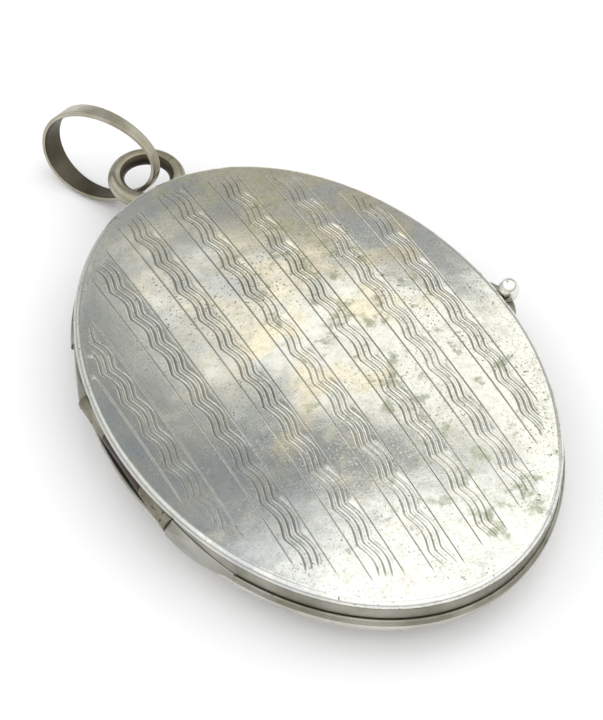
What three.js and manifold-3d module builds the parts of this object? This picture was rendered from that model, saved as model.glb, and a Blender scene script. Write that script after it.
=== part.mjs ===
// A hinged oval picture locket: two pressed covers on side bands, a three-knuckle hinge on the
// long side, a ball to lift the lid by, a soldered ring, and a bail for the chain.
// Millimetres. +Z out of the engraved face, +Y towards the ring, -X the hinge side.
// The origin is the small flat at the crown of the back, which the closed locket rests on.
import * as THREE from "three";
import { mergeVertices } from "three/addons/utils/BufferGeometryUtils.js";
import Module from "manifold-3d";

// Case
const CASE_LENGTH = 40;
const CASE_WIDTH = 29;
const SHEET = 0.4; // thickness of the silver sheet
const COVER_RISE = 1.45; // dome of the front cover above its edge
const COVER_ROUND = 0.1; // inside radius that turns the front cover down into its side
const LID_BAND = 0.92; // height of the lid's side band
const SEAM_GAP = 0.12; // between the two halves when closed
const BACK_BAND = 0.76; // height of the back's side band
const BACK_ROUND = 1.3; // outside radius that turns the back cover up into its side
const BACK_RISE = 1.7; // dome of the back cover
const CROWN = 0.9; // half-width of the small flat at the crown of each dome
const SOLDER_GAP = 0.03; // left between pieces that are soldered together
const FOOT_CLEAR = 0.05; // inner band and hinge leaves above the edge of the back cover

// Bead round the mouth of the back, and the inner band that the lid closes over
const BEAD_HEIGHT = 0.6;
const BEAD_REACH = 0.19;
const BEAD_DROP = 0.02; // top of the bead below the mouth
const CATCH_SHEET = 0.25;
const CATCH_FIT = 0.06; // all round, between the inner band and the side bands
const CATCH_STANDS = 0.54; // how far the inner band stands above the mouth

// Hinge
const HINGE_SHIFT = -0.15; // the barrel's middle, along Y
const BARREL_RADIUS = 0.6;
const BARREL_HALF = 5.8;
const LID_KNUCKLE_HALF = 2.4;
const PIN_RADIUS = 0.25;
const PIN_FIT = 0.04; // radial
const KNUCKLE_GAP = 0.05;
const LIP_CLEAR = 0.04; // barrel to the edge of the front cover
const LEAF_WIDTH = 0.6; // solder leaf of the back, inwards from the axis
const LEAF_STEP = 0.05; // the leaf of the lid is this much narrower
const NOTCH_DEPTH = 0.78; // below the axis, cut in the back's band so the lid can fall open
const WING_LENGTH = 5;
const WING_BULGE = 0.46; // how far the wing's near end stands out past the axis
const WING_SAG = 0.95; // how far the wing's lower edge dips between its ends
const WING_SHOULDER = 0.06; // how far the wing's outer edge lies below the axis
const WING_CLEAR = 0.06;
const WING_GAP = 0.06; // between the end of the barrel and the wing
const WING_LAP = 0.02; // how far the wing's top reaches in past the inside of the band

// Ball to lift the lid by, and the lip under it
const THUMB_SHIFT = 0.4; // along Y
const BALL_RADIUS = 0.73;
const BALL_HALF_HEIGHT = 0.95;
const LIP_REACH = 0.9;
const LIP_HALF_LENGTH = 2.4;
const LIP_SHEET = 0.35;
const LIP_LIFT = 0.02; // underside of the lip above the lid's lower edge

// Ring soldered on the back, and the bail that hangs on it
const RING_HOLE = 3.1;
const RING_WIRE = 1.18;
const RING_SHIFT = -0.5; // the ring was soldered a little off the long axis
const RING_DROP = 0.81; // the ring's middle below the mouth
const RING_BITE = 0.13; // how far the ring is filed away to seat on the case
const RING_FOOT = 1.77; // width of the solder under the ring
const RING_FOOT_STEP = 0.1; // the solder's faces below the faces of the wire
const BAIL_LENGTH = 9.3; // along the strip's middle line
const BAIL_WIDTH = 6.6;
const BAIL_TAPER = 0.12;
const BAIL_SHEET = 0.32;
const BAIL_WIDE = 1.75; // strip width at the chain end
const BAIL_NARROW = 0.75; // strip width in the ring
const BAIL_HEADING = 28.7; // degrees from +Y towards -X, as it lies
const BAIL_DIP = 20.5; // degrees below level
const BAIL_LEAN = 9.8; // degrees from upright
const BAIL_ALONG = 3.4; // from the ring's middle to the bail's middle, along the heading
const BAIL_ASIDE = -0.42;
const BAIL_UP = 0.9;

// Picture frames, windows and cards
const FRAME_FIT = 0.05;
const FRAME_WALL = 0.3;
const FRAME_FLANGE = 1.3;
const FRAME_SINK = 0.05; // face of the back's frame below the edge of the inner band
const FRAME_SHEET = 0.25;
const FRAME_DEPTH = 0.24; // wall behind the flange of the lid's frame
const BACK_FRAME_DEPTH = 0.55; // wall behind the flange of the back's frame
const WINDOW_SHEET = 0.12;
const CARD_SHEET = 0.1;
const STACK_GAP = 0.02; // between flange, window and card
const FLAT_CLEAR = 0.1; // between the barrel and whatever passes beside it inside

const SEGMENTS = 64; // round the oval
const BIG = 60; // larger than the locket, for cutting tools

// Levels, from the ground up
const bandFoot = BACK_RISE + BACK_ROUND;
const mouth = bandFoot + BACK_BAND;
const lidFoot = mouth + SEAM_GAP;
const lidLip = lidFoot + LID_BAND;
const coverRound = COVER_ROUND + SHEET;
const lidEdge = lidLip + coverRound;
const catchTop = mouth + CATCH_STANDS;

// Places worked out from the sizes
const halfWidth = CASE_WIDTH / 2;
const halfLength = CASE_LENGTH / 2;
const hingeX = BARREL_RADIUS - halfWidth;
const hingeZ = lidLip - LIP_CLEAR - BARREL_RADIUS;
const insideX = hingeX + BARREL_RADIUS + FLAT_CLEAR;
const hingeCut = BARREL_HALF + 2 * KNUCKLE_GAP;
const wingNear = BARREL_HALF + WING_GAP;
const wingFar = wingNear + WING_LENGTH;
const beadReach = SOLDER_GAP + BEAD_REACH;
const beadTop = mouth - BEAD_DROP;
const beadFoot = beadTop - BEAD_HEIGHT;
const ringRadius = (RING_HOLE + RING_WIRE) / 2;
const ringY = halfLength + ringRadius + RING_WIRE / 2 - RING_BITE;
const ringZ = mouth - RING_DROP;

const wasm = await Module();
wasm.setup();

// ---- Solids ----------------------------------------------------------------------------------

function toSolid(geometry) {
  const bare = new THREE.BufferGeometry();
  const source = geometry.index ? geometry.toNonIndexed() : geometry;
  bare.setAttribute("position", source.getAttribute("position"));
  const merged = mergeVertices(bare, 1e-4);
  return new wasm.Manifold(
    new wasm.Mesh({
      numProp: 3,
      vertProperties: new Float32Array(merged.attributes.position.array),
      triVerts: new Uint32Array(merged.index.array),
    }),
  );
}

function toGeometry(solid) {
  const out = solid.getMesh();
  const geometry = new THREE.BufferGeometry();
  geometry.setAttribute("position", new THREE.BufferAttribute(out.vertProperties, 3));
  geometry.setIndex(new THREE.BufferAttribute(out.triVerts, 1));
  const flat = geometry.toNonIndexed();
  flat.computeVertexNormals();
  return flat;
}

function cut(geometry, ...tools) {
  const left = tools.reduce((solid, tool) => solid.subtract(toSolid(tool)), toSolid(geometry));
  return toGeometry(left);
}

function common(geometry, tool) {
  return toGeometry(toSolid(geometry).intersect(toSolid(tool)));
}

function join(geometry, tool) {
  return toGeometry(toSolid(geometry).add(toSolid(tool)));
}

// Joins rings of equal point counts into a closed skin: end to end with flat caps, or as a loop.
function loft(rings, loop = false) {
  const count = rings[0].length;
  const points = rings.flat();
  const faces = [];
  const last = loop ? rings.length : rings.length - 1;
  for (let i = 0; i < last; i += 1) {
    const low = i * count;
    const high = ((i + 1) % rings.length) * count;
    for (let j = 0; j < count; j += 1) {
      const k = (j + 1) % count;
      faces.push(low + j, low + k, high + k, low + j, high + k, high + j);
    }
  }
  if (!loop) {
    const top = (rings.length - 1) * count;
    for (let j = 0; j < count; j += 1) {
      const k = (j + 1) % count;
      faces.push(points.length, k, j);
      faces.push(points.length + 1, top + j, top + k);
    }
    points.push(middle(rings[0]), middle(rings.at(-1)));
  }
  return facingOut(points, faces);
}

function middle(ring) {
  return ring.reduce((sum, p) => sum.add(p), new THREE.Vector3()).divideScalar(ring.length);
}

function facingOut(points, faces) {
  let volume = 0;
  for (let i = 0; i < faces.length; i += 3) {
    const [a, b, c] = [points[faces[i]], points[faces[i + 1]], points[faces[i + 2]]];
    volume += a.dot(b.clone().cross(c));
  }
  const indexed = new THREE.BufferGeometry().setFromPoints(points);
  indexed.setIndex(volume > 0 ? faces : faces.reverse());
  const geometry = indexed.toNonIndexed();
  geometry.computeVertexNormals();
  return geometry;
}

// ---- Shapes ----------------------------------------------------------------------------------

// A level ring that follows the case's outline at an inset, or a share of it; flat stops it at X.
function ovalRing(inset, z, share = 1, flat = -BIG) {
  const ring = [];
  for (let i = 0; i < SEGMENTS; i += 1) {
    const turn = (2 * Math.PI * i) / SEGMENTS;
    const x = (halfWidth - inset) * share * Math.cos(turn);
    const y = (halfLength - inset) * share * Math.sin(turn);
    ring.push(new THREE.Vector3(Math.max(x, flat), y, z));
  }
  return ring;
}

function ovalPrism(inset, low, high) {
  return loft([ovalRing(inset, low), ovalRing(inset, high)]);
}

function ovalBand(outer, inner, low, high) {
  const corners = [[outer, low], [outer, high], [inner, high], [inner, low]];
  return loft(corners.map(([inset, z]) => ovalRing(inset, z)), true);
}

// Half-width of the outline at a given y.
function outlineX(y) {
  return halfWidth * Math.sqrt(1 - (y / halfLength) ** 2);
}

function box(lowX, highX, lowY, highY, lowZ, highZ) {
  const solid = new THREE.BoxGeometry(highX - lowX, highY - lowY, highZ - lowZ);
  return solid.translate((lowX + highX) / 2, (lowY + highY) / 2, (lowZ + highZ) / 2);
}

// A prism along X whose outline is drawn in Y and Z.
function prismAlongX(shape, low, high) {
  const prism = new THREE.ExtrudeGeometry(shape, {
    depth: high - low,
    bevelEnabled: false,
    curveSegments: 10,
  });
  const turn = new THREE.Matrix4().makeBasis(
    new THREE.Vector3(0, 1, 0),
    new THREE.Vector3(0, 0, 1),
    new THREE.Vector3(1, 0, 0),
  );
  return prism.applyMatrix4(turn).translate(low, 0, 0);
}

// A length of round tube on the hinge's axis.
function barrelTube(outer, inner, lowY, highY) {
  const profile = [[inner, lowY], [outer, lowY], [outer, highY], [inner, highY], [inner, lowY]];
  const tube = new THREE.LatheGeometry(profile.map(([x, y]) => new THREE.Vector2(x, y)), 24);
  return tube.translate(hingeX, HINGE_SHIFT, hingeZ);
}

// ---- Covers, bands and bead ------------------------------------------------------------------

// A pressed cover: a dome with its edge turned through a quarter round to meet the side band.
function pressedCover(foot, round, rise, up) {
  const crownShare = CROWN / (halfWidth - round);
  const edge = round + rise;
  const domeHeight = (share) => edge - (rise * (share ** 2 - crownShare ** 2)) / (1 - crownShare ** 2);
  const shares = [1, 0.9, 0.75, 0.55, 0.3, crownShare];
  const outside = [0, 18, 36, 54, 75].map((degrees) => {
    const turn = THREE.MathUtils.degToRad(degrees);
    return ovalRing(round * (1 - Math.cos(turn)), foot + up * round * Math.sin(turn));
  });
  const outerDome = shares.map((share) => ovalRing(round, foot + up * domeHeight(share), share));
  const innerDome = shares
    .toReversed()
    .map((share) => ovalRing(round, foot + up * (domeHeight(share) - SHEET), share));
  const bend = round - SHEET;
  const inside = [45, 0].map((degrees) => {
    const turn = THREE.MathUtils.degToRad(degrees);
    return ovalRing(round - bend * Math.cos(turn), foot + up * bend * Math.sin(turn));
  });
  const skin = [...outside, ...outerDome, ...innerDome, ...inside];
  return shellFrom(skin, outside.length + outerDome.length);
}

// Closes a cover's skin: rings up to `crown` are its outside, the rest its inside.
function shellFrom(skin, crown) {
  const count = SEGMENTS;
  const points = skin.flat();
  const faces = [];
  for (let i = 0; i < skin.length; i += 1) {
    if (i === crown - 1) continue;
    const low = i * count;
    const high = ((i + 1) % skin.length) * count;
    for (let j = 0; j < count; j += 1) {
      const k = (j + 1) % count;
      faces.push(low + j, low + k, high + k, low + j, high + k, high + j);
    }
  }
  const outerCentre = points.length;
  const innerCentre = points.length + 1;
  points.push(middle(skin[crown - 1]), middle(skin[crown]));
  for (let j = 0; j < count; j += 1) {
    const k = (j + 1) % count;
    const outer = (crown - 1) * count;
    const inner = crown * count;
    faces.push(outer + j, outer + k, outerCentre);
    faces.push(innerCentre, inner + k, inner + j);
  }
  return facingOut(points, faces);
}

function frontCover() {
  return pressedCover(lidLip, coverRound, COVER_RISE, 1);
}

function backCover() {
  return pressedCover(bandFoot, BACK_ROUND, BACK_RISE, -1);
}

// The lid's side band, cut away over the barrel and sloped down to full height past the wings.
function frontBand() {
  const slope = LID_BAND / (wingFar + WING_CLEAR - hingeCut);
  const far = wingFar + WING_CLEAR + slope;
  const above = 1 / slope;
  const opening = new THREE.Shape();
  opening.moveTo(HINGE_SHIFT - far - above, lidFoot - 1);
  opening.lineTo(HINGE_SHIFT - hingeCut, lidLip);
  opening.lineTo(HINGE_SHIFT - hingeCut, lidLip + 1);
  opening.lineTo(HINGE_SHIFT + hingeCut, lidLip + 1);
  opening.lineTo(HINGE_SHIFT + hingeCut, lidLip);
  opening.lineTo(HINGE_SHIFT + far + above, lidFoot - 1);
  const band = ovalBand(0, SHEET, lidFoot, lidLip - SOLDER_GAP);
  return cut(band, prismAlongX(opening, -BIG, -halfWidth / 2));
}

function hingeGap(half, low, high) {
  return box(-BIG, -halfWidth / 3, HINGE_SHIFT - half, HINGE_SHIFT + half, low, high);
}

function backBand() {
  const band = ovalBand(0, SHEET, bandFoot + SOLDER_GAP, mouth);
  return cut(band, hingeGap(hingeCut, hingeZ - NOTCH_DEPTH, BIG));
}

function backBead() {
  const section = [0, 0.25, 0.5, 0.75, 1].map((share) => {
    const swell = Math.sin(Math.PI * share) * BEAD_REACH;
    return ovalRing(-SOLDER_GAP - swell, beadFoot + share * BEAD_HEIGHT);
  });
  return cut(loft(section, true), hingeGap(wingFar + WING_CLEAR, 0, BIG));
}

// The inner band on the back that the lid closes over, open on the hinge side.
function catchBand() {
  const outer = SHEET + CATCH_FIT;
  const band = ovalBand(outer, outer + CATCH_SHEET, bandFoot + FOOT_CLEAR, catchTop);
  return cut(band, box(-BIG, insideX, -BIG, BIG, 0, BIG));
}

// ---- Hinge -----------------------------------------------------------------------------------

function lidKnuckle() {
  const half = LID_KNUCKLE_HALF;
  const top = lidEdge - SHEET - SOLDER_GAP;
  const far = hingeX + LEAF_WIDTH - LEAF_STEP;
  const leaf = box(hingeX, far, HINGE_SHIFT - half, HINGE_SHIFT + half, hingeZ, top);
  const tube = barrelTube(BARREL_RADIUS, PIN_RADIUS + PIN_FIT, -half, half);
  return cut(join(tube, leaf), barrelTube(PIN_RADIUS + PIN_FIT, 0, -half - 1, half + 1));
}

// A knuckle of the back, with a leaf that reaches down inside the back's band.
function backKnuckle(side) {
  const near = LID_KNUCKLE_HALF + KNUCKLE_GAP;
  const [low, high] = side > 0 ? [near, BARREL_HALF] : [-BARREL_HALF, -near];
  const foot = bandFoot + FOOT_CLEAR;
  const strip = box(hingeX, hingeX + LEAF_WIDTH, HINGE_SHIFT + low, HINGE_SHIFT + high, foot, hingeZ);
  const leaf = common(strip, ovalPrism(SHEET + SOLDER_GAP, 0, BIG));
  const tube = barrelTube(BARREL_RADIUS, PIN_RADIUS + PIN_FIT, low, high);
  return cut(join(tube, leaf), barrelTube(PIN_RADIUS + PIN_FIT, 0, low - 1, high + 1));
}

function hingePin() {
  const pin = new THREE.CylinderGeometry(PIN_RADIUS, PIN_RADIUS, 2 * BARREL_HALF, 24);
  return pin.translate(hingeX, HINGE_SHIFT, hingeZ);
}

// The wing that fairs the end of the barrel into the side of the back.
function hingeWing(side) {
  const near = HINGE_SHIFT + side * wingNear;
  const far = HINGE_SHIFT + side * wingFar;
  const level = (nearX, farX, z) => [
    new THREE.Vector3(nearX, near, z),
    new THREE.Vector3(farX, far, z),
    new THREE.Vector3(farX + 2, far, z),
    new THREE.Vector3(nearX + 2, near, z),
  ];
  const farX = -outlineX(far) - 2 * SOLDER_GAP;
  const block = loft([
    level(hingeX - WING_BULGE, farX, 0),
    level(hingeX - WING_BULGE, farX, hingeZ - WING_SHOULDER),
    level(-outlineX(near), farX + SOLDER_GAP, lidLip),
  ]);
  const sideView = new THREE.Shape();
  const nearFoot = hingeZ - BARREL_RADIUS - WING_CLEAR;
  sideView.moveTo(near, nearFoot);
  sideView.quadraticCurveTo((near + far) / 2, mouth - 2 * WING_SAG, far, mouth - BEAD_HEIGHT / 2);
  sideView.lineTo(far, lidFoot - WING_CLEAR);
  sideView.lineTo(near, lidLip - WING_CLEAR);
  const wing = common(block, prismAlongX(sideView, -BIG, 0));
  return cut(
    wing,
    ovalPrism(-SOLDER_GAP, -1, mouth + SOLDER_GAP),
    ovalPrism(SHEET + WING_LAP, -1, BIG),
  );
}

// ---- Ball and lip ----------------------------------------------------------------------------

const lipTop = lidFoot + LIP_LIFT + LIP_SHEET;

function thumbLip() {
  const flatten = halfWidth / (2 * halfLength ** 2);
  const radius = 1 / (2 * (LIP_REACH / LIP_HALF_LENGTH ** 2 + flatten));
  const disc = new THREE.CylinderGeometry(radius, radius, LIP_SHEET, 48).rotateX(Math.PI / 2);
  disc.translate(halfWidth + LIP_REACH - radius, THUMB_SHIFT, lipTop - LIP_SHEET / 2);
  return cut(disc, ovalPrism(-SOLDER_GAP, 0, BIG));
}

function thumbBall() {
  const ball = new THREE.SphereGeometry(BALL_RADIUS, 24, 16).rotateX(Math.PI / 2);
  ball.scale(1, 1, BALL_HALF_HEIGHT / BALL_RADIUS);
  const centreX = halfWidth + SOLDER_GAP + BALL_RADIUS;
  ball.translate(centreX, THUMB_SHIFT, lidFoot + BALL_HALF_HEIGHT);
  return cut(ball, box(-BIG, BIG, -BIG, BIG, -BIG, lipTop + SOLDER_GAP));
}

// ---- Ring and bail ---------------------------------------------------------------------------

// The ring with its foot of solder, filed to the case's side and bead.
function suspensionRing() {
  const torus = new THREE.TorusGeometry(ringRadius, RING_WIRE / 2, 14, 44);
  torus.translate(RING_SHIFT, ringY, ringZ);
  const foot = box(
    RING_SHIFT - RING_FOOT / 2,
    RING_SHIFT + RING_FOOT / 2,
    halfLength - 1,
    ringY - RING_HOLE / 2 - RING_WIRE / 2,
    ringZ - RING_WIRE / 2 + RING_FOOT_STEP,
    ringZ + RING_WIRE / 2 - RING_FOOT_STEP,
  );
  return cut(
    join(torus, foot),
    ovalPrism(-SOLDER_GAP, -1, BIG),
    ovalPrism(-beadReach - SOLDER_GAP, beadFoot - SOLDER_GAP, BIG),
  );
}

// A tapered loop of flat strip, drawn about its own middle: long way Y, short way Z.
function bailLoop() {
  const steps = 56;
  const line = (turn) => {
    const y = (-BAIL_LENGTH / 2) * Math.cos(turn);
    const z = (BAIL_WIDTH / 2) * Math.sin(turn) * (1 - BAIL_TAPER * Math.cos(turn));
    return new THREE.Vector2(y, z);
  };
  const rings = [];
  for (let i = 0; i < steps; i += 1) {
    const turn = (2 * Math.PI * i) / steps;
    const here = line(turn);
    const along = line(turn + 0.01).sub(line(turn - 0.01)).normalize();
    const out = new THREE.Vector2(along.y, -along.x);
    const wide = (1 - Math.cos(turn)) / 2;
    const half = (BAIL_NARROW + (BAIL_WIDE - BAIL_NARROW) * wide) / 2;
    const thick = BAIL_SHEET / 2;
    const section = [[-1, -0.6], [-0.6, -1], [0.6, -1], [1, -0.6], [1, 0.6], [0.6, 1], [-0.6, 1], [-1, 0.6]];
    rings.push(
      section.map(([across, through]) => {
        const place = here.clone().addScaledVector(out, through * thick);
        return new THREE.Vector3(across * half, place.x, place.y);
      }),
    );
  }
  return loft(rings, true);
}

// ---- Frames, windows and cards ---------------------------------------------------------------

// A frame of L section: a flange that faces out, and a wall that stands behind it.
function pictureFrame(outer, face, behind, depth) {
  const flatAt = (inset) => insideX + FLAT_CLEAR + inset - outer;
  const back = face + behind * FRAME_SHEET;
  const corners = [
    [outer, face],
    [outer, back + behind * depth],
    [outer + FRAME_WALL, back + behind * depth],
    [outer + FRAME_WALL, back],
    [outer + FRAME_FLANGE, back],
    [outer + FRAME_FLANGE, face],
  ];
  return loft(corners.map(([inset, z]) => ovalRing(inset, z, 1, flatAt(inset))), true);
}

function ovalSheet(inset, flat, low, high) {
  return loft([ovalRing(inset, low, 1, flat), ovalRing(inset, high, 1, flat)]);
}

// Frame, window and card of one half; behind is +1 in the lid and -1 in the back.
function pictureSet(outer, face, behind, depth) {
  const inset = outer + FRAME_WALL + FRAME_FIT;
  const flat = insideX + FLAT_CLEAR + FRAME_WALL + FRAME_FIT;
  const windowNear = face + behind * (FRAME_SHEET + STACK_GAP);
  const windowFar = windowNear + behind * WINDOW_SHEET;
  const cardNear = windowFar + behind * STACK_GAP;
  const cardFar = cardNear + behind * CARD_SHEET;
  return {
    frame: pictureFrame(outer, face, behind, depth),
    window: ovalSheet(inset, flat, windowNear, windowFar),
    card: ovalSheet(inset, flat, cardNear, cardFar),
  };
}

// ---- Assembly --------------------------------------------------------------------------------

const metal = (color, roughness) => new THREE.MeshStandardMaterial({ color, roughness, metalness: 1 });
const silver = metal(0xb9b7a8, 0.3);
const agedSilver = metal(0x8f8b7c, 0.42);
const darkSilver = metal(0x57524a, 0.5);
const gilt = metal(0xb79a5c, 0.4);
const glazing = new THREE.MeshStandardMaterial({
  color: 0xe6e4d6,
  roughness: 0.1,
  transparent: true,
  opacity: 0.35,
});
const paper = new THREE.MeshStandardMaterial({ color: 0xd8ccb0, roughness: 0.9, metalness: 0 });

function part(name, geometry, material) {
  const mesh = new THREE.Mesh(geometry, material);
  mesh.name = name;
  return mesh;
}

function backHalf() {
  const outer = SHEET + CATCH_FIT + CATCH_SHEET + FRAME_FIT;
  const pictures = pictureSet(outer, catchTop - FRAME_SINK, -1, BACK_FRAME_DEPTH);
  return new THREE.Group().add(
    part("back_cover", backCover(), silver),
    part("back_band", backBand(), agedSilver),
    part("back_bead", backBead(), silver),
    part("catch_band", catchBand(), agedSilver),
    part("upper_knuckle", backKnuckle(1), darkSilver),
    part("lower_knuckle", backKnuckle(-1), darkSilver),
    part("hinge_pin", hingePin(), darkSilver),
    part("upper_hinge_wing", hingeWing(1), agedSilver),
    part("lower_hinge_wing", hingeWing(-1), agedSilver),
    part("suspension_ring", suspensionRing(), agedSilver),
    part("back_frame", pictures.frame, gilt),
    part("back_window", pictures.window, glazing),
    part("back_card", pictures.card, paper),
  );
}

function lid() {
  const outer = SHEET + 2 * FRAME_FIT;
  const pictures = pictureSet(outer, catchTop + CATCH_FIT, 1, FRAME_DEPTH);
  return new THREE.Group().add(
    part("front_cover", frontCover(), silver),
    part("front_band", frontBand(), agedSilver),
    part("lid_knuckle", lidKnuckle(), darkSilver),
    part("thumb_lip", thumbLip(), agedSilver),
    part("thumb_ball", thumbBall(), silver),
    part("front_frame", pictures.frame, gilt),
    part("front_window", pictures.window, glazing),
    part("front_card", pictures.card, paper),
  );
}

// The bail lies over on the table, threaded through the ring.
function bail() {
  const radians = THREE.MathUtils.degToRad;
  const loop = part("bail", bailLoop(), agedSilver);
  loop.position.set(BAIL_ASIDE, BAIL_ALONG, BAIL_UP);
  loop.rotation.set(-radians(BAIL_DIP), radians(BAIL_LEAN), 0, "ZXY");
  const onRing = new THREE.Group().add(loop);
  onRing.position.set(RING_SHIFT, ringY, ringZ);
  onRing.rotation.z = radians(BAIL_HEADING);
  return onRing;
}

const locket = new THREE.Group().add(backHalf(), lid(), bail());

export default locket;
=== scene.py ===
# %% [markdown]
# # An oval silver locket
#
# A locket is two shallow pressed covers on side bands, hinged along one long side. This one has
# a lid engraved with wavy bands, a ball to open it by, and a ring with a bail for the chain.
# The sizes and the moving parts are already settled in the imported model, which is loaded first
# and stays where it is. Here each piece is modelled again with smooth surfaces, soft edges,
# cut lines and old silver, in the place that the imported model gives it.

import math
from contextlib import contextmanager

import bpy
import numpy as np
from mathutils import Matrix, Vector


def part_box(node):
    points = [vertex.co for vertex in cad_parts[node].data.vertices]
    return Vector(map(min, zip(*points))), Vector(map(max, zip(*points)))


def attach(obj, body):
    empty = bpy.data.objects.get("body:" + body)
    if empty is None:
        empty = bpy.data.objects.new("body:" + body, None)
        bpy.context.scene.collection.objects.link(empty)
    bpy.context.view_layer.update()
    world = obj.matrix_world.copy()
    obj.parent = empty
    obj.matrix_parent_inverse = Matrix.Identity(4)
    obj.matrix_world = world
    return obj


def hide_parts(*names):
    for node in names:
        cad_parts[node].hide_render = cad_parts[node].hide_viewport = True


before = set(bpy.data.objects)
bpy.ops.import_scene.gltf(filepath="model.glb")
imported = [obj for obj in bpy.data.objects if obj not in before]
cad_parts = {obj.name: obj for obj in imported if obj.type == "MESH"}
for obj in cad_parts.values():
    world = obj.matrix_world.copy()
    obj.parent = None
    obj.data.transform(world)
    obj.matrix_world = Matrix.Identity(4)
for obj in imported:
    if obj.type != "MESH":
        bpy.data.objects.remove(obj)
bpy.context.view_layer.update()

# %% [markdown]
# ## Measures of the case
#
# Blender works in metres, and a maker thinks in millimetres, so one millimetre gets a name.
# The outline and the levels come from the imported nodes, so that nothing has to be fitted by
# eye. Levels run from the table upwards: the foot of the back's side band, the mouth where
# the two halves meet, the foot of the lid's band, its top, and the crown of the lid.

# %% Levels and outline
MM = 0.001


def low(node):
    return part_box(node)[0]


def high(node):
    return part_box(node)[1]


half_width = high("back_cover").x
half_length = high("back_cover").y
band_foot = high("back_cover").z
mouth = high("back_band").z
lid_foot = low("front_band").z
lid_lip = low("front_cover").z
crown_level = high("front_cover").z
hinge_x = (low("hinge_pin").x + high("hinge_pin").x) / 2
hinge_y = (low("hinge_pin").y + high("hinge_pin").y) / 2
hinge_z = (low("hinge_pin").z + high("hinge_pin").z) / 2
SHEET = 0.4 * MM
print(f"case {2 * half_length / MM:.1f} x {2 * half_width / MM:.1f} x {crown_level / MM:.2f} mm")

# %% [markdown]
# ## The bench
#
# Small helpers do what a hand does again and again: clear the selection, name what was just added, go
# into edit mode and come back, apply a modifier, cut one piece with another, and soften edges.
# Operators act on everything that is selected, so each step starts from a clear selection.


# %% Helpers for modelling
def clear():
    bpy.ops.object.select_all(action="DESELECT")


def named(name):
    piece = bpy.context.object
    piece.name = name
    piece.data.name = name
    return piece


def hold(piece):
    clear()
    piece.select_set(True)
    bpy.context.view_layer.objects.active = piece


@contextmanager
def shaping(piece, kind="VERT"):
    hold(piece)
    bpy.ops.object.mode_set(mode="EDIT")
    bpy.ops.mesh.select_mode(type=kind)
    yield
    bpy.ops.object.mode_set(mode="OBJECT")


def settle(piece):
    """Puts the piece's place into its mesh, so that its object sits at the origin."""
    hold(piece)
    bpy.ops.object.transform_apply(location=True, rotation=True, scale=True)


def finish_modifier(piece, kind, **settings):
    hold(piece)
    modifier = piece.modifiers.new(kind.title(), kind)
    for key, value in settings.items():
        setattr(modifier, key, value)
    bpy.ops.object.modifier_apply(modifier=modifier.name)


def cut_with(piece, tool, operation="DIFFERENCE"):
    finish_modifier(piece, "BOOLEAN", operation=operation, solver="EXACT", object=tool)
    bpy.data.objects.remove(tool)


def block(x0, x1, y0, y1, z0, z1, name="block"):
    clear()
    middle = ((x0 + x1) / 2, (y0 + y1) / 2, (z0 + z1) / 2)
    bpy.ops.mesh.primitive_cube_add(size=1, location=middle, scale=(x1 - x0, y1 - y0, z1 - z0))
    piece = named(name)
    settle(piece)
    return piece


def soften(piece, width, segments=2, angle=30, smooth=35):
    """Rounds the sharp edges a little, as polishing does, and shades the rest smooth."""
    finish_modifier(
        piece,
        "BEVEL",
        width=width,
        segments=segments,
        limit_method="ANGLE",
        angle_limit=math.radians(angle),
        use_clamp_overlap=True,
    )
    smooth_over(piece, smooth)


def smooth_over(piece, angle=35):
    hold(piece)
    bpy.ops.object.shade_smooth_by_angle(angle=math.radians(angle))


# %% [markdown]
# ## Shader arithmetic
#
# A finish is a node tree, and most of it is arithmetic on masks. A small class wraps a socket
# and overloads the operators, so that a mask reads as a sum and Blender gets its Math nodes.
# Every other node comes from one method that takes its type, settings and inputs.


# %% Helpers for finishes
class Wire:
    def __init__(self, finish, socket):
        self.finish = finish
        self.socket = socket

    def maths(self, operation, *values, clamp=False):
        settings = {"operation": operation, "use_clamp": clamp}
        return self.finish.node("ShaderNodeMath", dict(enumerate(values)), **settings)

    def __add__(self, other):
        return self.maths("ADD", self, other)

    def __sub__(self, other):
        return self.maths("SUBTRACT", self, other)

    def __mul__(self, other):
        return self.maths("MULTIPLY", self, other)

    def __rsub__(self, other):
        return self.maths("SUBTRACT", other, self)

    __radd__ = __add__
    __rmul__ = __mul__

    def capped(self):
        return self.maths("ADD", self, 0.0, clamp=True)


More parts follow.
